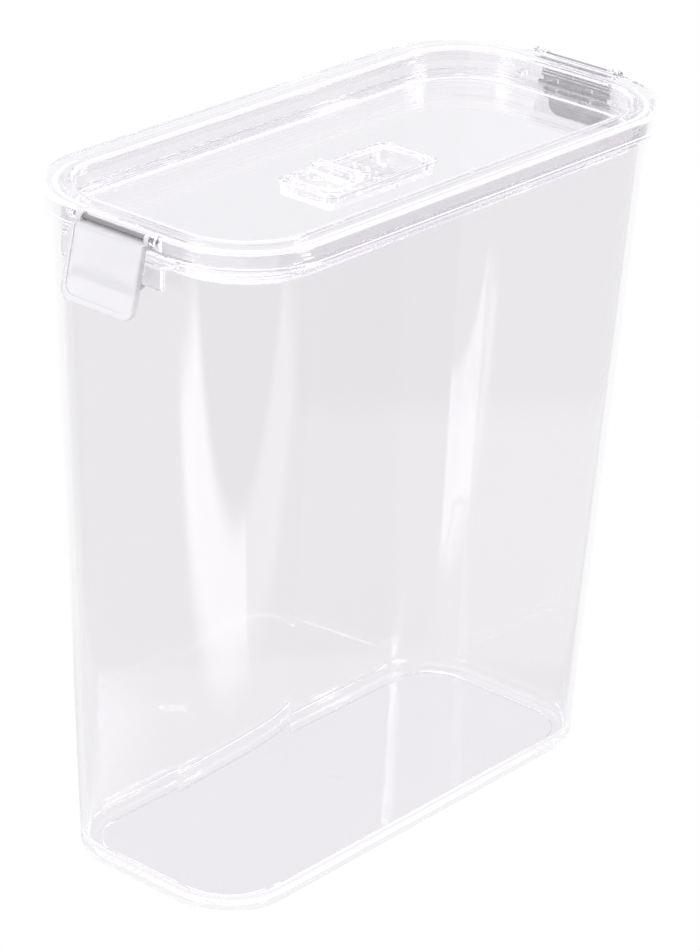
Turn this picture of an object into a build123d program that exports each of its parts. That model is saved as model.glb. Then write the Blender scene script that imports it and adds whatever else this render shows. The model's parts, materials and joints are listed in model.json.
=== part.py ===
"""Tall clear storage canister with a clip-on lid.

A tapered container with rounded corners, a lid with a sunk panel and a silicone gasket, one
hinged latch at each short end, and a sliding air vent in the middle of the lid.

Frame: X along the long side, Y along the short side, Z up, millimetres. The origin is the
middle of the foot ring that the container stands on.
"""
import os

from build123d import *

# ---------------------------------------------------------------- container
base_length = 206.7
base_width = 87.0
base_corner = 25.5
mouth_length = 232.0
mouth_width = 106.0
mouth_corner = 32.5
rim_height = 250.4
wall = 2.4
floor_thickness = 2.8
foot_width = 8.0
foot_recess = 1.2
foot_edge_radius = 3.4
floor_edge_radius = 4.5
rim_edge_radius = 0.7
gate_mark_radius = 3.4
gate_mark_height = 0.55

# ---------------------------------------------------------------- lid
rim_gap = 1.8            # container rim to the inside of the lid's skirt
skirt_wall = 2.2
skirt_drop = 4.8         # how far the skirt hangs below the container's rim
lid_web = 2.0            # top of the channel that the container's rim sits in
web_gap = 0.6            # container rim to the top of that channel
rim_band = 10.7          # width of the lid's raised border
plug_wall = 2.0
panel_sink = 11.7        # depth of the sunk panel below the border
panel_thickness = 2.3
lid_edge_radius = 1.5
lid_inner_radius = 0.7
panel_edge_radius = 1.2
bead_proud = 0.5
bead_height = 1.6
bead_edge_radius = 0.4
border_groove_inset = 3.7
border_groove_width = 0.9
border_groove_depth = 0.35

# ---------------------------------------------------------------- gasket
gasket_groove = 0.6
gasket_height = 4.6
gasket_body = 1.2
gasket_fin = 0.9
gasket_lift = 1.1        # plug's lower edge to the gasket groove
gasket_gap = 0.3         # fins to the container's inner wall, as drawn
gasket_fit = 0.05

# ---------------------------------------------------------------- catches and latches
catch_width = 45.0
catch_height = 8.2
catch_below_skirt = 0.8
catch_reach = 8.2        # how far the catch stands out of the wall at its lower edge
catch_lean = 0.4         # how much less it stands out at its top
catch_skin = 1.9
catch_bite = 1.0
catch_ribs = 2
catch_edge_radius = 1.1

pin_radius = 0.9
pin_end_chamfer = 0.2
pin_hole_fit = 0.02      # press fit in the lid's ears
pin_seat = 1.4           # depth of each pin end in its ear
pin_end_play = 0.1
pin_run_fit = 0.05       # running fit in the latch's knuckles
knuckle_wall = 0.8
knuckle_width = 2.0
pin_gap = 0.4            # pin to the skirt beside it
hinge_gap = 0.35         # latch to the ears and to the channel it turns in
hinge_drop = 1.3         # pin axis below the lid's top
ear_width = 2.8
ear_bite = 1.6
ear_foot = 3.8           # height of the ear's root below the pin axis

latch_width = 32.0
latch_plate = 2.6
latch_height = 25.1
latch_flare = 5.0
latch_reach = 4.6        # pin axis to the latch's outer face, at its top
latch_shoulder = 1.7
shoulder_gap = 0.4       # pin to the shoulder below it
shoulder_inset = 0.8
hook_gap = 0.5           # hook to the catch's lower edge
hook_reach = 5.0
hook_height = 3.0
hook_width = 27.0
hook_nose = 1.0
latch_corner_radius = 4.0
latch_border = 2.2
latch_sink = 0.5
latch_edge_radius = 0.7

# ---------------------------------------------------------------- vent
vent_x = -1.0            # the vent's middle, along the panel
vent_length = 56.4       # box that passes through the panel
vent_width = 24.6
vent_corner = 3.0
vent_wall = 1.3
vent_body_depth = 6.5    # below the panel's top
vent_lip = 0.8           # flange around the box, let into the panel
vent_flange = 0.7
vent_proud = 0.15        # flange above the panel
vent_edge_radius = 0.2
pocket_corner = 7.0
pocket_depth = 4.8       # below the panel's top
pocket_edge_radius = 0.5
vent_port_radius = 1.6
vent_port_spacing = 4.6
vent_ports = 3
vent_travel = 6.0        # slides the slider's ports over those in the floor
panel_fit = 0.15
snap_bead = 0.35         # holds the box from below the panel
snap_bead_height = 0.9
snap_play = 0.1
vent_gasket_height = 0.5
seat_gap = 0.05          # between flat seats, as drawn
slider_gap = 0.25
slider_lift = 0.45       # pocket floor to the slider's plate
groove_depth = 0.6       # side grooves that hold the slider down
groove_play = 0.1
tongue_thickness = 1.1
tongue_reach = 18.0      # from the vent's middle to the tongue's round end
tongue_nose = 9.0
grip_length = 18.4
grip_proud = 1.5         # grip above the panel
grip_wall = 1.3
grip_edge_radius = 0.4
thumb_bar = 5.0
thumb_bar_height = 2.2
thumb_edge = 0.6
thumb_scoop_radius = 3.6
thumb_scoop_depth = 0.4  # into the grip's top
thumb_scoop_bite = 0.5   # into the bar
thumb_rib = 0.8
thumb_rib_foot = 3.2
thumb_rib_drop = 0.5     # rib below the bar's top
seal_radius = 9.4
seal_recess = 0.4
seal_lift = 0.1
seal_fit = 0.05
seal_margin = 1.0
detent_ribs = 4
detent_pitch = 1.9
detent_start = -1.9
detent_width = 0.7
detent_proud = 0.2

# ---------------------------------------------------------------- worked-out sizes
lid_top = rim_height + web_gap + lid_web
skirt_bottom = rim_height - skirt_drop
skirt_offset = rim_gap + skirt_wall
lid_length = mouth_length + 2 * skirt_offset
lid_width = mouth_width + 2 * skirt_offset
lid_corner = mouth_corner + skirt_offset
channel_top = lid_top - lid_web
panel_top = lid_top - panel_sink
panel_underside = panel_top - panel_thickness
plug_inset = rim_band - plug_wall
floor_top = foot_recess + floor_thickness

gasket_bottom = panel_underside + gasket_lift
catch_top = skirt_bottom - catch_below_skirt
catch_bottom = catch_top - catch_height

pin_z = lid_top - hinge_drop
knuckle_radius = pin_radius + pin_run_fit + knuckle_wall
pin_out = lid_length / 2 + pin_gap + pin_radius
ear_inner = latch_width / 2 + hinge_gap
pin_half = ear_inner + pin_seat
shoulder_top = pin_z - pin_radius - shoulder_gap
latch_bottom = shoulder_top - latch_height
latch_out = pin_out + latch_reach

vent_top = panel_top + vent_proud
flange_underside = vent_top - vent_flange
vent_seat = flange_underside - vent_gasket_height - 2 * seat_gap
vent_bottom = panel_top - vent_body_depth
pocket_floor = panel_top - pocket_depth
pocket_length = vent_length - 2 * vent_wall
pocket_width = vent_width - 2 * vent_wall
slider_width = pocket_width - 2 * slider_gap
slider_left = -pocket_length / 2 + slider_gap
slider_corner = pocket_corner - slider_gap
tongue_bottom = pocket_floor + slider_lift
tongue_top = tongue_bottom + tongue_thickness
seal_centre = tongue_reach - seal_radius - seal_margin
grip_right = slider_left + grip_length
grip_top = panel_top + grip_proud

ends = {"front": -1, "rear": 1}


def container_outline(height):
    """Length, width and corner radius of the container's outside at a height."""
    share = height / rim_height
    return (
        base_length + (mouth_length - base_length) * share,
        base_width + (mouth_width - base_width) * share,
        base_corner + (mouth_corner - base_corner) * share,
    )


def rounded(length, width, corner, inset=0.0, mode=Mode.ADD):
    """A rounded rectangle drawn inside an outline by the inset (outside it if negative)."""
    RectangleRounded(length - 2 * inset, width - 2 * inset, corner - inset, mode=mode)


def lid_ring(outer_inset, inner_inset):
    """The band between two outlines of the lid."""
    rounded(lid_length, lid_width, lid_corner, outer_inset)
    rounded(lid_length, lid_width, lid_corner, inner_inset, mode=Mode.SUBTRACT)


def end_plane(side, across=0.0):
    """The upright plane through a short end: x is outwards, y is up, across shifts it."""
    return Plane(origin=(0, -side * across, 0), x_dir=(side, 0, 0), z_dir=(0, -side, 0))


def vent_level(height):
    """The level plane at a height, with its origin in the middle of the vent."""
    return Plane(origin=(vent_x, 0, height))


def vent_outline(outset=0.0, mode=Mode.ADD):
    """The vent's box in plan, or an outline outside it."""
    rounded(vent_length, vent_width, vent_corner, -outset, mode)


def wall_out(height):
    """Distance from the middle to the container's end wall, on the outside, at a height."""
    return container_outline(height)[0] / 2


# ================================================================ container
catch_out_bottom = wall_out(catch_bottom) + catch_reach
catch_out_top = wall_out(catch_top) + catch_reach - catch_lean
pocket_count = catch_ribs + 1
catch_pocket = (catch_width - catch_ribs * catch_skin) / pocket_count

with BuildPart() as container:
    # catches that the latches hook under
    for side in ends.values():
        with BuildSketch(end_plane(side)):
            with BuildLine():
                Polyline(
                    (wall_out(catch_bottom) - catch_bite, catch_bottom),
                    (catch_out_bottom, catch_bottom),
                    (catch_out_top, catch_top),
                    (wall_out(catch_top) - catch_bite, catch_top),
                    close=True,
                )
            make_face()
        extrude(amount=catch_width / 2, both=True)
    catch_corners = [
        edge
        for edge in container.edges()
        if abs(abs(edge.center().Y) - catch_width / 2) < 0.01
        and abs(edge.center().X) > (catch_out_top + wall_out(catch_top)) / 2
        and abs(edge.tangent_at(0.5).Z) > abs(edge.tangent_at(0.5).X)
    ]
    fillet(catch_corners, catch_edge_radius)

    # pockets that core the catches out from below, the outer ones open at the catch's ends
    for side in ends.values():
        for index in range(pocket_count):
            across = (index - (pocket_count - 1) / 2) * (catch_pocket + catch_skin)
            with BuildSketch(end_plane(side, across)):
                with BuildLine():
                    Polyline(
                        (wall_out(catch_bottom) - catch_bite, catch_bottom),
                        (catch_out_bottom - catch_skin, catch_bottom),
                        (catch_out_top - catch_skin, catch_top - catch_skin),
                        (wall_out(catch_top) - catch_bite, catch_top - catch_skin),
                        close=True,
                    )
                make_face()
            extrude(amount=catch_pocket / 2, both=True, mode=Mode.SUBTRACT)

    # body, joined to the catches
    with BuildSketch(Plane.XY):
        rounded(base_length, base_width, base_corner)
    with BuildSketch(Plane.XY.offset(rim_height)):
        rounded(mouth_length, mouth_width, mouth_corner)
    loft(ruled=True)
    fillet(container.faces().sort_by(Axis.Z)[0].edges(), foot_edge_radius)

    # cavity
    with BuildSketch(Plane.XY.offset(floor_top)):
        rounded(*container_outline(floor_top), inset=wall)
    with BuildSketch(Plane.XY.offset(rim_height)):
        rounded(mouth_length, mouth_width, mouth_corner, inset=wall)
    loft(ruled=True, mode=Mode.SUBTRACT)
    cavity_floor = container.faces().filter_by(Axis.Z).filter_by_position(
        Axis.Z, floor_top - 0.01, floor_top + 0.01
    )
    fillet(cavity_floor[0].edges(), floor_edge_radius)
    rim_face = container.faces().sort_by(Axis.Z)[-1]
    fillet(rim_face.edges(), rim_edge_radius)

    # raised middle of the base, inside the foot ring
    with BuildSketch(Plane.XY):
        rounded(base_length, base_width, base_corner, inset=foot_width)
    extrude(amount=foot_recess, mode=Mode.SUBTRACT)

    # moulding gate mark, a low dome on the floor
    gate_mark_sphere = (gate_mark_radius**2 + gate_mark_height**2) / (2 * gate_mark_height)
    with BuildSketch(Plane.XZ):
        with BuildLine():
            Polyline(
                (gate_mark_radius, floor_top),
                (gate_mark_radius, floor_top - gate_mark_height),
                (0, floor_top - gate_mark_height),
                (0, floor_top + gate_mark_height),
            )
            RadiusArc(
                (0, floor_top + gate_mark_height), (gate_mark_radius, floor_top), gate_mark_sphere
            )
        make_face()
    revolve(axis=Axis.Z)

# ================================================================ lid
with BuildPart() as lid:
    with BuildSketch(Plane.XY.offset(skirt_bottom)):
        rounded(lid_length, lid_width, lid_corner)
    extrude(amount=lid_top - skirt_bottom)
    fillet(lid.faces().sort_by(Axis.Z)[-1].edges(), lid_edge_radius)
    with BuildSketch(Plane.XY.offset(skirt_bottom)):
        rounded(lid_length, lid_width, lid_corner, inset=-bead_proud)
    extrude(amount=bead_height)
    bead_top = lid.faces().filter_by(Axis.Z).filter_by_position(
        Axis.Z, skirt_bottom + bead_height - 0.01, skirt_bottom + bead_height + 0.01
    )
    fillet(bead_top[0].outer_wire().edges(), bead_edge_radius)
    # plug that carries the sunk panel
    with BuildSketch(Plane.XY.offset(panel_underside)):
        rounded(lid_length, lid_width, lid_corner, inset=plug_inset)
    extrude(amount=channel_top - panel_underside)
    # channel for the container's rim
    with BuildSketch(Plane.XY.offset(skirt_bottom)):
        lid_ring(skirt_wall, plug_inset)
    extrude(amount=channel_top - skirt_bottom, mode=Mode.SUBTRACT)
    # sunk panel
    with BuildSketch(Plane.XY.offset(panel_top)):
        rounded(lid_length, lid_width, lid_corner, inset=rim_band)
    extrude(amount=lid_top - panel_top, mode=Mode.SUBTRACT)
    panel_face = lid.faces().filter_by(Axis.Z).filter_by_position(
        Axis.Z, panel_top - 0.01, panel_top + 0.01
    )
    fillet(panel_face[0].edges(), panel_edge_radius)
    border_face = lid.faces().filter_by(Axis.Z).sort_by(Axis.Z)[-1]
    fillet(border_face.inner_wires()[0].edges(), lid_inner_radius)
    # shallow line around the border
    with BuildSketch(Plane.XY.offset(lid_top)):
        groove_outer = rim_band - border_groove_inset - border_groove_width
        lid_ring(groove_outer, rim_band - border_groove_inset)
    extrude(amount=-border_groove_depth, mode=Mode.SUBTRACT)
    # gasket groove around the plug
    with BuildSketch(Plane.XY.offset(gasket_bottom)):
        lid_ring(plug_inset, plug_inset + gasket_groove)
    extrude(amount=gasket_height, mode=Mode.SUBTRACT)
    # opening for the vent, and the rebate that its flange is let into
    with BuildSketch(vent_level(panel_underside)):
        vent_outline(panel_fit)
    extrude(amount=panel_thickness, mode=Mode.SUBTRACT)
    with BuildSketch(vent_level(vent_seat)):
        vent_outline(vent_lip + panel_fit)
    extrude(amount=panel_top - vent_seat, mode=Mode.SUBTRACT)

    # hinge ears, two at each end
    for side in ends.values():
        for across in (ear_inner, -ear_inner - ear_width):
            with BuildSketch(end_plane(side, across)):
                with BuildLine():
                    Polyline(
                        (lid_length / 2 - ear_bite, pin_z - ear_foot),
                        (lid_length / 2, pin_z - ear_foot),
                        (pin_out, pin_z - knuckle_radius),
                        (pin_out, lid_top),
                        (lid_length / 2 - ear_bite, lid_top),
                        close=True,
                    )
                make_face()
                with Locations((pin_out, pin_z)):
                    Circle(knuckle_radius)
            extrude(amount=ear_width)
        # blind holes for the pin, and the channel that the latch's knuckles turn in
        with BuildSketch(end_plane(side)):
            with Locations((pin_out, pin_z)):
                Circle(pin_radius + pin_hole_fit)
        extrude(amount=pin_half + pin_end_play, both=True, mode=Mode.SUBTRACT)
        with BuildSketch(end_plane(side)):
            with Locations((pin_out, pin_z)):
                Circle(knuckle_radius + hinge_gap)
        extrude(amount=ear_inner, both=True, mode=Mode.SUBTRACT)

# ================================================================ lid gasket
with BuildPart() as lid_gasket:
    with BuildSketch(Plane.XY.offset(gasket_bottom + gasket_fit)):
        lid_ring(plug_inset + gasket_groove - gasket_body, plug_inset + gasket_groove - gasket_fit)
    extrude(amount=gasket_height - 2 * gasket_fit)
    for lift in (gasket_fin, gasket_height - 2 * gasket_fin):
        fin_bottom = gasket_bottom + lift
        fin_outline = container_outline(fin_bottom)
        with BuildSketch(Plane.XY.offset(fin_bottom)):
            rounded(*fin_outline, inset=wall + gasket_gap)
            rounded(lid_length, lid_width, lid_corner, plug_inset, mode=Mode.SUBTRACT)
        extrude(amount=gasket_fin)

# ================================================================ latches and their pins
latches = {}
pins = {}
hook_top = catch_bottom - hook_gap


def latch_inner(height):
    """Distance from the middle to the latch's inner face at a height."""
    return latch_out - latch_plate + latch_flare * (shoulder_top - height) / latch_height


for end, side in ends.items():
    with BuildPart() as latch:
        # plate with the shoulder that turns in under the pin
        with BuildSketch(end_plane(side)):
            with BuildLine():
                Polyline(
                    (pin_out - shoulder_inset, shoulder_top),
                    (latch_out, shoulder_top),
                    (latch_out + latch_flare, latch_bottom),
                    (latch_inner(latch_bottom), latch_bottom),
                    (latch_inner(shoulder_top - latch_shoulder), shoulder_top - latch_shoulder),
                    (pin_out - shoulder_inset, shoulder_top - latch_shoulder),
                    close=True,
                )
            make_face()
        extrude(amount=latch_width / 2, both=True)
        corner_edges = latch.edges().filter_by(Axis.X).filter_by_position(
            Axis.Z, latch_bottom - 0.01, latch_bottom + 0.01
        )
        fillet(corner_edges, latch_corner_radius)
        outer_face = latch.faces().sort_by(SortBy.AREA)[-1]
        fillet(outer_face.edges(), latch_edge_radius)
        # shallow sunk field inside the latch's raised border, open at the top
        field_plane = Plane(
            origin=(side * (latch_out + latch_flare / 2), 0, shoulder_top - latch_height / 2),
            x_dir=(0, side, 0),
            z_dir=(side * latch_height, 0, latch_flare),
        )
        field_width = latch_width - 2 * latch_border
        field_height = latch_height + latch_corner_radius
        with BuildSketch(field_plane):
            with Locations((0, latch_border + latch_corner_radius / 2)):
                RectangleRounded(field_width, field_height, latch_corner_radius)
        extrude(amount=-latch_sink, mode=Mode.SUBTRACT)
        # hook under the catch
        with BuildSketch(end_plane(side)):
            with BuildLine():
                Polyline(
                    (latch_inner(hook_top) + latch_plate / 2, hook_top),
                    (latch_inner(hook_top) - hook_reach, hook_top),
                    (latch_inner(hook_top) - hook_reach, hook_top - hook_nose),
                    (latch_inner(hook_top - hook_height), hook_top - hook_height),
                    (latch_inner(hook_top - hook_height) + latch_plate / 2, hook_top - hook_height),
                    close=True,
                )
            make_face()
        extrude(amount=hook_width / 2, both=True)
        # knuckles around the pin, at both ends of the shoulder
        for across in (-latch_width / 2, latch_width / 2 - knuckle_width):
            with BuildSketch(end_plane(side, across)):
                with Locations((pin_out, pin_z)):
                    Circle(knuckle_radius)
                neck = pin_z - shoulder_top + latch_shoulder
                with Locations((pin_out + (knuckle_radius - shoulder_inset) / 2, pin_z - neck / 2)):
                    Rectangle(knuckle_radius + shoulder_inset, neck)
            extrude(amount=knuckle_width)
        with BuildSketch(end_plane(side)):
            with Locations((pin_out, pin_z)):
                Circle(pin_radius + pin_run_fit)
        extrude(amount=latch_width / 2, both=True, mode=Mode.SUBTRACT)
    latches[end] = latch

    with BuildPart() as pin:
        with BuildSketch(end_plane(side)):
            with Locations((pin_out, pin_z)):
                Circle(pin_radius)
        extrude(amount=pin_half, both=True)
        chamfer(pin.edges().filter_by(GeomType.CIRCLE), pin_end_chamfer)
    pins[end] = pin

# ================================================================ vent
with BuildPart() as vent_frame:
    with BuildSketch(vent_level(vent_bottom)):
        vent_outline()
    extrude(amount=flange_underside - vent_bottom)
    with BuildSketch(vent_level(panel_underside - snap_play)):
        vent_outline(snap_bead)
    extrude(amount=-snap_bead_height)
    with BuildSketch(vent_level(flange_underside)):
        vent_outline(vent_lip)
    extrude(amount=vent_flange)
    fillet(vent_frame.faces().sort_by(Axis.Z)[-1].edges(), vent_edge_radius)
    # pocket for the slider, with a groove along its sides
    with BuildSketch(vent_level(pocket_floor)):
        RectangleRounded(pocket_length, pocket_width, pocket_corner)
    extrude(amount=vent_top - pocket_floor, mode=Mode.SUBTRACT)
    vent_top_face = vent_frame.faces().filter_by(Axis.Z).sort_by(Axis.Z)[-1]
    fillet(vent_top_face.inner_wires()[0].edges(), pocket_edge_radius)
    with BuildSketch(vent_level(tongue_bottom - groove_play)):
        Rectangle(pocket_length - 2 * pocket_corner, pocket_width + 2 * groove_depth)
    extrude(amount=tongue_thickness + 2 * groove_play, mode=Mode.SUBTRACT)
    # air ports
    with Locations((vent_x + seal_centre + vent_travel / 2, 0, pocket_floor)):
        with GridLocations(0, vent_port_spacing, 1, vent_ports):
            Hole(vent_port_radius, depth=pocket_floor - vent_bottom)
    # detent ribs on the near wall
    rib_foot = tongue_top + 2 * groove_play
    rib_top = vent_top - pocket_edge_radius
    for index in range(detent_ribs):
        rib_x = vent_x + detent_start + index * detent_pitch
        with Locations((rib_x, -pocket_width / 2, (rib_foot + rib_top) / 2)):
            Box(detent_width, 2 * detent_proud, rib_top - rib_foot)

with BuildPart() as vent_gasket:
    with BuildSketch(vent_level(vent_seat + seat_gap)):
        vent_outline(vent_lip)
        vent_outline(panel_fit, mode=Mode.SUBTRACT)
    extrude(amount=vent_gasket_height)

grip_middle = slider_left + grip_length / 2
with BuildPart() as vent_slider:
    with BuildSketch(vent_level(tongue_bottom)):
        with Locations(((slider_left + tongue_reach) / 2, 0)):
            RectangleRounded(tongue_reach - slider_left, slider_width, tongue_nose)
        with Locations((grip_middle, 0)):
            RectangleRounded(grip_length, slider_width, slider_corner)
    extrude(amount=tongue_thickness)
    # side flanges in the frame's grooves
    flange_width = pocket_width + 2 * (groove_depth - slider_gap)
    flange_left = slider_left + pocket_corner
    flange_right = tongue_reach - tongue_nose
    with BuildSketch(vent_level(tongue_bottom)):
        with Locations(((flange_left + flange_right) / 2, 0)):
            Rectangle(flange_right - flange_left, flange_width)
    extrude(amount=tongue_thickness)
    # raised grip, cored out from below
    with BuildSketch(vent_level(tongue_top)):
        with Locations((grip_middle, 0)):
            RectangleRounded(grip_length, slider_width, slider_corner)
    extrude(amount=grip_top - tongue_top)
    fillet(vent_slider.faces().sort_by(Axis.Z)[-1].edges(), grip_edge_radius)
    with BuildSketch(vent_level(tongue_bottom)):
        with Locations((grip_middle, 0)):
            core_length = grip_length - 2 * grip_wall
            core_width = slider_width - 2 * grip_wall
            RectangleRounded(core_length, core_width, slider_corner - grip_wall)
    extrude(amount=grip_top - grip_wall - tongue_bottom, mode=Mode.SUBTRACT)
    # thumb bar with a scoop in front of it and a rib in the middle
    upright = Plane(origin=(vent_x, 0, 0), x_dir=(1, 0, 0), z_dir=(0, -1, 0))
    bar_left = grip_right - thumb_bar
    bar_right = grip_right - thumb_edge
    bar_bottom = grip_top - grip_wall / 2
    bar_top = grip_top + thumb_bar_height
    bar_half = slider_width / 2 - thumb_edge
    with BuildSketch(upright):
        with BuildLine():
            Polyline(
                (bar_left, bar_bottom),
                (bar_right, bar_bottom),
                (bar_right, bar_top),
                (bar_left, bar_top),
                close=True,
            )
        make_face()
    extrude(amount=bar_half, both=True)
    fillet(vent_slider.faces().sort_by(Axis.Z)[-1].edges(), thumb_edge)
    scoop_x = bar_left - thumb_scoop_radius + thumb_scoop_bite
    with BuildSketch(upright):
        with Locations((scoop_x, grip_top + thumb_scoop_radius - thumb_scoop_depth)):
            Circle(thumb_scoop_radius)
    extrude(amount=bar_half - thumb_edge, both=True, mode=Mode.SUBTRACT)
    with BuildSketch(upright):
        with BuildLine():
            rib_right = bar_left + thumb_scoop_bite + thumb_edge
            Polyline(
                (rib_right, grip_top - grip_wall / 2),
                (rib_right, bar_top - thumb_rib_drop),
                (bar_left, bar_top - thumb_rib_drop),
                (bar_left - thumb_rib_foot, grip_top - thumb_scoop_depth / 2),
                (bar_left - thumb_rib_foot, grip_top - grip_wall / 2),
                close=True,
            )
        make_face()
    extrude(amount=thumb_rib / 2, both=True)
    # seat for the silicone seal, and the ports through the tongue
    with BuildSketch(vent_level(tongue_bottom)):
        with Locations((seal_centre, 0)):
            Circle(seal_radius + seal_fit)
    extrude(amount=seal_recess, mode=Mode.SUBTRACT)
    with Locations((vent_x + seal_centre - vent_travel / 2, 0, tongue_top)):
        with GridLocations(0, vent_port_spacing, 1, vent_ports):
            Hole(vent_port_radius, depth=tongue_thickness)

with BuildPart() as slider_seal:
    with BuildSketch(vent_level(pocket_floor + seal_lift)):
        with Locations((seal_centre, 0)):
            Circle(seal_radius)
        with Locations((seal_centre - vent_travel / 2, 0)):
            with GridLocations(0, vent_port_spacing, 1, vent_ports):
                Circle(vent_port_radius, mode=Mode.SUBTRACT)
    extrude(amount=slider_lift + seal_recess - seal_lift - seat_gap)

# ================================================================ files
pieces = {
    "container": container,
    "lid": lid,
    "lid_gasket": lid_gasket,
    "front_latch": latches["front"],
    "rear_latch": latches["rear"],
    "front_hinge_pin": pins["front"],
    "rear_hinge_pin": pins["rear"],
    "vent_frame": vent_frame,
    "vent_gasket": vent_gasket,
    "vent_slider": vent_slider,
    "slider_seal": slider_seal,
}
os.makedirs("parts", exist_ok=True)
for name, piece in pieces.items():
    piece.part.label = name
    export_step(piece.part, f"parts/{name}.step")
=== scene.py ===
"""Tall clear storage canister with a clip-on lid: finishes, studio and camera.

Everything is in metres in the part's own frame: X along the long side, Z up, the origin in the
middle of the foot ring.
"""
import json
import math

import bpy
from mathutils import Matrix, Vector


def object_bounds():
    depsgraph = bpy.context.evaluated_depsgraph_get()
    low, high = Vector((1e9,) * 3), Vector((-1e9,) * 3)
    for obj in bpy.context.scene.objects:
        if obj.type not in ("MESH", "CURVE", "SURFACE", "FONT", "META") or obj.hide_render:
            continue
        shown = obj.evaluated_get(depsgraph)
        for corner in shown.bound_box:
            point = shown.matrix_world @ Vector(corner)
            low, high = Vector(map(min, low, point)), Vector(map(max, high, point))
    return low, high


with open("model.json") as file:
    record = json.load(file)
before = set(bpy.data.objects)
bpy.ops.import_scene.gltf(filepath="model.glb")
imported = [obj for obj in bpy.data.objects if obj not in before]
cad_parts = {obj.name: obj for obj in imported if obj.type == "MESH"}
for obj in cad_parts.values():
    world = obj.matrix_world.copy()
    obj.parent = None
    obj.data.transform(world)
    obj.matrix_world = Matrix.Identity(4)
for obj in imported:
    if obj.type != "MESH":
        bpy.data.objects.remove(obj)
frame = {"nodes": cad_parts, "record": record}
cad_low, cad_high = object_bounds()
MM = 0.001


# ---------------------------------------------------------------- shader maths
class Number:
    """A number in a node tree. Arithmetic on it adds Math nodes."""

    def __init__(self, finish, socket):
        self.finish = finish
        self.socket = socket

    def math(self, operation, other=0.0, swapped=False):
        first, second = (other, self) if swapped else (self, other)
        return self.finish.node("ShaderNodeMath", {"operation": operation}, {0: first, 1: second})

    def __add__(self, other):
        return self.math("ADD", other)

    def __radd__(self, other):
        return self.math("ADD", other, swapped=True)

    def __sub__(self, other):
        return self.math("SUBTRACT", other)

    def __rsub__(self, other):
        return self.math("SUBTRACT", other, swapped=True)

    def __mul__(self, other):
        return self.math("MULTIPLY", other)

    def __rmul__(self, other):
        return self.math("MULTIPLY", other, swapped=True)

    def __truediv__(self, other):
        return self.math("DIVIDE", other)

    def __pow__(self, other):
        return self.math("POWER", other)

    def __abs__(self):
        return self.math("ABSOLUTE")

    def sign(self):
        return self.math("SIGN")

    def above(self, level):
        """1 above the level and 0 below it."""
        return self.math("GREATER_THAN", level)

    def below(self, level):
        return self.math("LESS_THAN", level)

    def at_least(self, level):
        return self.math("MAXIMUM", level)

    def reaches(self, count):
        """1 where a whole number is this or more."""
        return self.math("GREATER_THAN", count - 0.5)

    def equals(self, count):
        """1 where a whole number is this."""
        return self.math("COMPARE", count)


class Finish:
    """A material, and the one method that adds its nodes."""

    def __init__(self, name, shader="ShaderNodeBsdfPrincipled", **constants):
        self.material = bpy.data.materials.new(name)
        self.material.use_nodes = True
        self.tree = self.material.node_tree
        self.tree.nodes.clear()
        surface = self.tree.nodes.new("ShaderNodeOutputMaterial").inputs["Surface"]
        self.shader = self.tree.nodes.new(shader)
        self.tree.links.new(self.shader.outputs[0], surface)
        for socket, value in constants.items():
            self.shader.inputs[socket.replace("_", " ")].default_value = value

    def node(self, kind, settings=None, inputs=None, output=0):
        """Adds a node: its settings first, then the values or links of its sockets."""
        made = self.tree.nodes.new(kind)
        for setting, value in (settings or {}).items():
            setattr(made, setting, value)
        for socket, value in (inputs or {}).items():
            self.feed(made.inputs[socket], value)
        return Number(self, made.outputs[output])

    def feed(self, socket, value):
        if isinstance(value, Number):
            self.tree.links.new(value.socket, socket)
        else:
            socket.default_value = value

    def set(self, socket, value):
        self.feed(self.shader.inputs[socket], value)

    def place(self):
        """The point in the part's own frame."""
        return self.node("ShaderNodeTexCoord", output="Object")

    def mirrored(self):
        """How often the ray was mirrored before it came here."""
        return self.node("ShaderNodeLightPath", output="Glossy Depth")

    def passed(self):
        """How many clear faces the ray went through before it came here."""
        return self.node("ShaderNodeLightPath", output="Transmission Depth")

    def parts(self, vector):
        """The x, y and z of a vector."""
        return [self.node("ShaderNodeSeparateXYZ", {}, {0: vector}, output=axis) for axis in range(3)]

    def noise(self, scale, detail, stretch=(1, 1, 1)):
        spot = self.node("ShaderNodeMapping", inputs={"Vector": self.place(), "Scale": stretch})
        return self.node("ShaderNodeTexNoise", {}, {"Vector": spot, "Scale": scale, "Detail": detail})

    def mix(self, share, first, second):
        """A colour between two."""
        settings = {"data_type": "RGBA"}
        return self.node("ShaderNodeMix", settings, {0: share, 6: first, 7: second}, output=2)

    def falloff(self, value, edge, soft):
        """1 below the edge and 0 above it, with a soft step."""
        settings = {"interpolation_type": "SMOOTHSTEP"}
        inputs = {0: value, 1: edge - soft, 2: edge + soft, 3: 1.0, 4: 0.0}
        return self.node("ShaderNodeMapRange", settings, inputs)

    def roughen(self, pattern, least, rise):
        self.set("Roughness", least + pattern * rise)

    def bump(self, height, strength, distance, under=None):
        """Raises the surface by a pattern, on top of the normal under it."""
        inputs = {"Height": height, "Strength": strength, "Distance": distance}
        if under is not None:
            inputs["Normal"] = under
        self.set("Normal", self.node("ShaderNodeBump", {}, inputs))


# ---------------------------------------------------------------- rounded corners
# the container's outline at its foot and at its mouth: half its length, half its width and
# its corner radius
CONTAINER_FOOT = (103.35 * MM, 43.5 * MM, 25.5 * MM)
CONTAINER_MOUTH = (116.0 * MM, 53.0 * MM, 32.5 * MM)
CONTAINER_HEIGHT = 250.4 * MM
# between these heights its walls are plain, clear of the rounded floor edge and rim edge
PLAIN_WALL = (8.6 * MM, 249.6 * MM)
# how squarely a face looks along the corner's own normal, where it belongs to the corner
CORNER_FACING = 0.95


def corner_arc(outline):
    """The x and y of the middle of an outline's corner arc, and its radius."""
    half_length, half_width, radius = outline
    return half_length - radius, half_width - radius, radius


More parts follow.
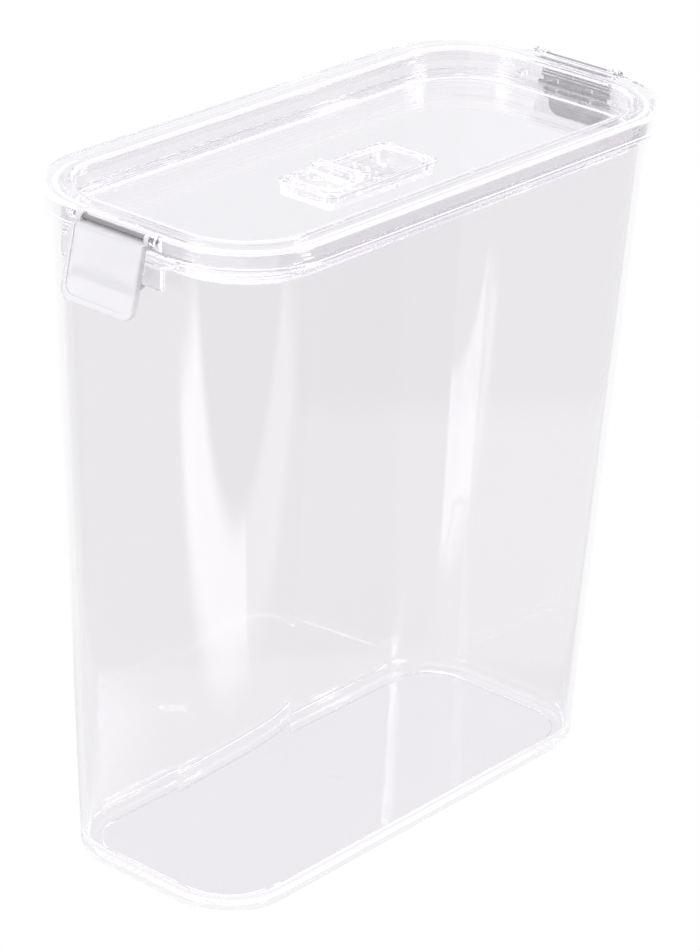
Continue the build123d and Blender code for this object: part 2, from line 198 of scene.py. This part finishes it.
def round_corners(finish, corner, spread=(0.0, 0.0, 0.0), upright=None):
    """The mesh's own normal, made exactly round where it belongs to a rounded corner.

    The corner's arc is given at the height of 0, and the spread is how much its x, its y and
    its radius grow with height. The container and the lid never turn, so their own directions
    are the world's.
    """
    corner_x, corner_y, _ = corner
    spread_x, spread_y, spread_radius = spread
    x, y, z = finish.parts(finish.place())
    normal_x, normal_y, normal_z = finish.parts(finish.node("ShaderNodeNewGeometry", output="Normal"))
    reach_x = (abs(x) - z * spread_x - corner_x).at_least(0.0)
    reach_y = (abs(y) - z * spread_y - corner_y).at_least(0.0)
    radius = (reach_x * reach_x + reach_y * reach_y) ** 0.5
    out_x = reach_x / radius * x.sign()
    out_y = reach_y / radius * y.sign()
    facing = normal_x * out_x + normal_y * out_y
    side = facing.sign()
    level = (1 - normal_z * normal_z) ** 0.5
    in_corner = (reach_x * reach_y).above(0.0) * (abs(facing) / level).above(CORNER_FACING)
    true_z = normal_z
    if upright:
        wall_foot, wall_top = upright
        slope = reach_x / radius * spread_x + reach_y / radius * spread_y + spread_radius
        on_wall = z.above(wall_foot) * z.below(wall_top)
        true_z = normal_z - on_wall * (side * slope / (1 + slope * slope) ** 0.5 + normal_z)
    true_level = (1 - true_z * true_z) ** 0.5
    return finish.node("ShaderNodeCombineXYZ", {}, {
        0: normal_x + in_corner * (out_x * side * true_level - normal_x),
        1: normal_y + in_corner * (out_y * side * true_level - normal_y),
        2: normal_z + in_corner * (true_z - normal_z),
    })


# ---------------------------------------------------------------- finishes
# each finish has a tint and a paler one, in patches
CONTAINER_TINTS = ((0.914, 0.904, 0.920, 1.0), (0.934, 0.925, 0.939, 1.0))
LID_TINTS = ((0.964, 0.957, 0.968, 1.0), (0.978, 0.972, 0.981, 1.0))
FROST_TINTS = ((0.925, 0.913, 0.930, 1.0), (0.950, 0.940, 0.955, 1.0))
SILICONE_TINTS = ((0.975, 0.968, 0.978, 1.0), (0.990, 0.984, 0.992, 1.0))
# the pin's tints are darker than bare steel: painted shade of the gap between the lid's rim and the
# latch
STEEL_AND_GAP_SHADE_TINTS = ((0.30, 0.29, 0.30, 1.0), (0.38, 0.37, 0.38, 1.0))

# patterns on the surfaces: a scale of 100 has a feature about every 10 mm
FLOW_MARKS = {"scale": 9.0, "detail": 3.0, "stretch": (1, 1, 0.35)}
SMUDGES = {"scale": 38.0, "detail": 4.0}
WAVES = {"scale": 14.0, "detail": 1.0, "stretch": (1, 1, 0.5)}
SPARK_GRAIN = {"scale": 900.0, "detail": 3.0}
FROST_CLOUDS = {"scale": 60.0, "detail": 2.0}
SILICONE_SKIN = {"scale": 300.0, "detail": 2.0}
DRAWN_LINES = {"scale": 2500.0, "detail": 2.0, "stretch": (1, 0.02, 1)}

PLASTIC_IOR = 1.49
SILICONE_IOR = 1.41
CONTAINER_WAVES = 0.012 * MM
LID_WAVES = 0.01 * MM
# a faint glow of the plastic itself, only for rays that were already mirrored: it keeps the rims
# and edges, where such rays end, from going dark, and no real plastic does it
CONTAINER_EDGE_GLOW = 0.015
LID_EDGE_GLOW = 0.018
VENT_EDGE_GLOW = 0.014


def clear_plastic(name, tints, edge_glow, waviness, **corners):
    """Polished moulded plastic: faint flow marks, a little haze, almost flat waves."""
    finish = Finish(name, Transmission_Weight=1.0, IOR=PLASTIC_IOR, Emission_Strength=1.0)
    finish.set("Emission Color", finish.mirrored().reaches(1) * edge_glow)
    finish.set("Base Color", finish.mix(finish.noise(**FLOW_MARKS), *tints))
    finish.roughen(finish.noise(**SMUDGES) ** 2, least=0.004, rise=0.05)
    true_normal = round_corners(finish, **corners) if corners else None
    finish.bump(finish.noise(**WAVES), strength=0.25, distance=waviness, under=true_normal)
    return finish.material


def container_plastic():
    foot, mouth = corner_arc(CONTAINER_FOOT), corner_arc(CONTAINER_MOUTH)
    spread = [(above - below) / CONTAINER_HEIGHT for below, above in zip(foot, mouth)]
    return clear_plastic(
        "container_clear_plastic", CONTAINER_TINTS, CONTAINER_EDGE_GLOW, CONTAINER_WAVES,
        corner=foot, spread=spread, upright=PLAIN_WALL,
    )


def lid_plastic():
    """The lid's corners have their arcs where the container's mouth has them."""
    mouth = corner_arc(CONTAINER_MOUTH)
    return clear_plastic("lid_clear_plastic", LID_TINTS, LID_EDGE_GLOW, LID_WAVES, corner=mouth)


def vent_plastic():
    return clear_plastic("vent_clear_plastic", LID_TINTS, VENT_EDGE_GLOW, LID_WAVES)


def frosted_plastic():
    """Fine-sparked mould surface: lets light through but blurs all behind it."""
    finish = Finish("latch_frosted_plastic", Transmission_Weight=0.45, IOR=PLASTIC_IOR)
    grain = finish.noise(**SPARK_GRAIN)
    finish.set("Base Color", finish.mix(finish.noise(**FROST_CLOUDS), *FROST_TINTS))
    finish.roughen(grain, least=0.42, rise=0.12)
    finish.bump(grain, strength=0.35, distance=0.05 * MM)
    return finish.material


def silicone():
    """Clear rubber with a faintly uneven skin."""
    finish = Finish("clear_silicone", Transmission_Weight=1.0, IOR=SILICONE_IOR)
    skin = finish.noise(**SILICONE_SKIN)
    finish.set("Base Color", finish.mix(skin, *SILICONE_TINTS))
    finish.roughen(skin, least=0.12, rise=0.1)
    finish.bump(skin, strength=0.2, distance=0.03 * MM)
    return finish.material


def pin_steel():
    """Drawn wire: fine lines along its length. Its tints are darker than bare steel: painted shade of
    the gap between the lid's rim and the latch, where the pin shows.
    """
    finish = Finish("drawn_steel_pin_with_gap_shade", Metallic=1.0)
    lines = finish.noise(**DRAWN_LINES)
    # painted shade: the steel is tinted darker so that the pin reads as the shaded gap around it
    finish.set("Base Color", finish.mix(lines, *STEEL_AND_GAP_SHADE_TINTS))
    finish.roughen(lines, least=0.42, rise=0.15)
    finish.bump(lines, strength=0.2, distance=0.01 * MM)
    return finish.material


finishes = {
    "container_clear": container_plastic(),
    "lid_clear": lid_plastic(),
    "vent_clear": vent_plastic(),
    "latch_frosted": frosted_plastic(),
    "silicone": silicone(),
    "pin_steel": pin_steel(),
}
for subpart in frame["record"]["subparts"]:
    node = frame["nodes"][subpart["node"]]
    for material_slot in node.material_slots:
        material_slot.material = finishes[subpart["material_slot"]]


# ---------------------------------------------------------------- studio floor
AZIMUTH = math.radians(-50.32)    # the main camera's: the floor's light and dark lie along it

STUDIO_RADIUS = 4.0
STUDIO_RISE = 1.2
STUDIO_BEND = 0.6
BEND_STEPS = 8
FLOOR_FACETS = 96
FLOOR_DROP = 0.2 * MM    # keeps the floor's face apart from the foot ring's
FLOOR_GLOW = 1.0

# To a ray that the object mirrored once, the floor stands in for the whole studio. It is a
# little dimmer except at the back, dark beyond two straight edges, bright again far in front,
# and it has the object's own soft shadow and a bright strip before the near corner. No real
# floor does that. The places suit the main camera, and stay put when another view is taken.
MIRRORED_LOSS = 0.14
AHEAD_EDGE = math.cos(math.radians(120))
AHEAD_SOFT = 0.15
DARK_EDGE = 0.37
DARK_SOFT = 0.025
DARK_LOSS = 0.5
BEYOND_EDGE = 0.59
BEYOND_GLOW = 1.2
SHADOW_EDGE = 0.20
SHADOW_SOFT = 0.06
SHADOW_LOSS = 0.15

# The strip lies across the view. Pairs are for the near corner's outside, which mirrors it
# straight, and for the far corner's inside, which mirrors it through the walls.
STRIP_GLOW = (1.85, 2.3)
STRIP_FAR = (0.350, 0.305)
STRIP_FAR_SPLAY = 0.09
STRIP_FAR_SOFT = 0.025
STRIP_NEAR = (0.25, 0.023)
STRIP_NEAR_SPLAY = (-0.15, 0.25)
STRIP_NEAR_SOFT = 0.0375
STRIP_REACH = 0.42       # half its length
STRIP_REACH_SOFT = 0.06
# to the right of this line it is dimmer, and there the inside also mirrors a darker floor
DIM_LINE = 0.04
DIM_SOFT = 0.01
DIM_SHARE = (0.35, 0.0)
DIM_LOSS_INSIDE = 0.45


def floor_mesh():
    """A round floor that curves up at its far edge."""
    flat = STUDIO_RADIUS - STUDIO_BEND
    rings = [(flat, 0.0)]
    for step in range(1, BEND_STEPS + 1):
        angle = math.radians(90 * step / BEND_STEPS)
        rings.append((flat + STUDIO_BEND * math.sin(angle), STUDIO_BEND * (1 - math.cos(angle))))
    rings.append((STUDIO_RADIUS, STUDIO_RISE))
    points = [(0.0, 0.0, 0.0)]
    for radius, height in rings:
        for index in range(FLOOR_FACETS):
            turn = 2 * math.pi * index / FLOOR_FACETS
            points.append((radius * math.cos(turn), radius * math.sin(turn), height))
    faces = []
    for index in range(FLOOR_FACETS):
        after = (index + 1) % FLOOR_FACETS
        faces.append((0, 1 + index, 1 + after))
        for ring in range(len(rings) - 1):
            inner = 1 + ring * FLOOR_FACETS
            outer = inner + FLOOR_FACETS
            faces.append((inner + index, outer + index, outer + after, inner + after))
    mesh = bpy.data.meshes.new("studio_floor")
    mesh.from_pydata(points, [], faces)
    for polygon in mesh.polygons:
        polygon.use_smooth = True
    return mesh


def floor_paint():
    """An even glow, with the studio's light and dark only in what the object mirrors."""
    paint = Finish("studio_floor_paint", "ShaderNodeEmission")
    # 1 where the ray was mirrored once, and where it also went into a wall, or through and back
    mirrored = paint.mirrored().equals(1)
    within = paint.passed().reaches(1)
    inside = paint.passed().reaches(3)

    def seen(outside_value, inside_value):
        return outside_value + inside * (inside_value - outside_value)

    x, y = paint.parts(paint.place())[:2]
    radius = (x * x + y * y) ** 0.5
    toward = x * math.sin(AZIMUTH) - y * math.cos(AZIMUTH)
    across = x * math.cos(AZIMUTH) + y * math.sin(AZIMUTH)

    ahead = 1 - paint.falloff(toward / radius, AHEAD_EDGE, AHEAD_SOFT)
    beyond = 1 - paint.falloff(toward, BEYOND_EDGE, DARK_SOFT)
    lit = paint.falloff(toward, DARK_EDGE, DARK_SOFT) * paint.falloff(across, DARK_EDGE, DARK_SOFT)
    shadow = paint.falloff(radius, SHADOW_EDGE, SHADOW_SOFT)
    loss = MIRRORED_LOSS + SHADOW_LOSS * shadow
    loss = loss + DARK_LOSS * (1 - lit) * (1 - beyond) - BEYOND_GLOW * beyond

    far = seen(*STRIP_FAR) + abs(across) * STRIP_FAR_SPLAY
    near = seen(*STRIP_NEAR) + abs(across) * seen(*STRIP_NEAR_SPLAY)
    strip = paint.falloff(toward - far, 0.0, STRIP_FAR_SOFT)
    strip = strip * (1 - paint.falloff(toward - near, 0.0, STRIP_NEAR_SOFT))
    strip = strip * paint.falloff(abs(across), STRIP_REACH, STRIP_REACH_SOFT)
    bright_side = paint.falloff(across, DIM_LINE, DIM_SOFT)
    dim = seen(*DIM_SHARE)
    gain = seen(*STRIP_GLOW) * (dim + bright_side * (1 - dim)) * strip

    loss = loss * ahead * (1 - within) + DIM_LOSS_INSIDE * inside * (1 - bright_side)
    paint.set("Color", FLOOR_GLOW + mirrored * (gain - loss))
    return paint.material


def studio_floor():
    floor = bpy.data.objects.new("studio_floor", floor_mesh())
    bpy.context.scene.collection.objects.link(floor)
    floor.data.materials.append(floor_paint())
    floor.location.z = -FLOOR_DROP


# ---------------------------------------------------------------- studio lights
AIR_TINT = (0.96, 0.96, 1.0, 1.0)
AIR_STRENGTH = 1.0


def softbox(name, place, width, height, power, mirrored):
    """A soft lamp aimed at the object's middle, which the object mirrors or not."""
    light = bpy.data.lights.new(name, "AREA")
    light.shape = "RECTANGLE"
    light.size = width
    light.size_y = height
    light.energy = power
    lamp = bpy.data.objects.new(name, light)
    lamp.location = place
    beam = (cad_low + cad_high) / 2 - Vector(place)
    lamp.rotation_euler = beam.to_track_quat("-Z", "Y").to_euler()
    bpy.context.scene.collection.objects.link(lamp)
    lamp.visible_camera = False
    lamp.visible_glossy = mirrored


def studio_air():
    """Even light from all sides."""
    world = bpy.data.worlds.new("studio_air")
    world.use_nodes = True
    background = world.node_tree.nodes["Background"]
    background.inputs["Color"].default_value = AIR_TINT
    background.inputs["Strength"].default_value = AIR_STRENGTH
    bpy.context.scene.world = world


studio_floor()
studio_air()
softbox("top_softbox", place=(0.2, 0.5, 1.6), width=1.2, height=1.2, power=6, mirrored=True)
softbox("left_softbox", place=(-1.5, 0.4, 0.8), width=0.5, height=1.2, power=8, mirrored=False)
softbox("right_softbox", place=(0.9, -1.4, 0.9), width=0.5, height=1.2, power=20, mirrored=False)

# ---------------------------------------------------------------- camera
ELEVATION = math.radians(24.59)
ROLL = math.radians(2.57)
DISTANCE = 1.36755
LENS = 145.0
AIM = (0.0034, 0.0013, 0.1237)


def aim_camera():
    right = Vector((math.cos(AZIMUTH), math.sin(AZIMUTH), 0))
    back = Vector((
        math.sin(AZIMUTH) * math.cos(ELEVATION),
        -math.cos(AZIMUTH) * math.cos(ELEVATION),
        math.sin(ELEVATION),
    ))
    up = back.cross(right)
    rolled_right = right * math.cos(ROLL) + up * math.sin(ROLL)
    rolled_up = up * math.cos(ROLL) - right * math.sin(ROLL)
    data = bpy.data.cameras.new("camera")
    data.lens = LENS
    camera = bpy.data.objects.new("camera", data)
    turn = Matrix((rolled_right, rolled_up, back)).transposed()
    camera.matrix_world = Matrix.Translation(Vector(AIM) + back * DISTANCE) @ turn.to_4x4()
    bpy.context.scene.collection.objects.link(camera)
    bpy.context.scene.camera = camera


aim_camera()

# ---------------------------------------------------------------- rendering
BOUNCES = 64             # clear rims and edges trap a ray for long

scene = bpy.context.scene
scene.view_settings.view_transform = "Standard"
scene.cycles.max_bounces = BOUNCES
scene.cycles.transmission_bounces = BOUNCES
scene.cycles.glossy_bounces = BOUNCES
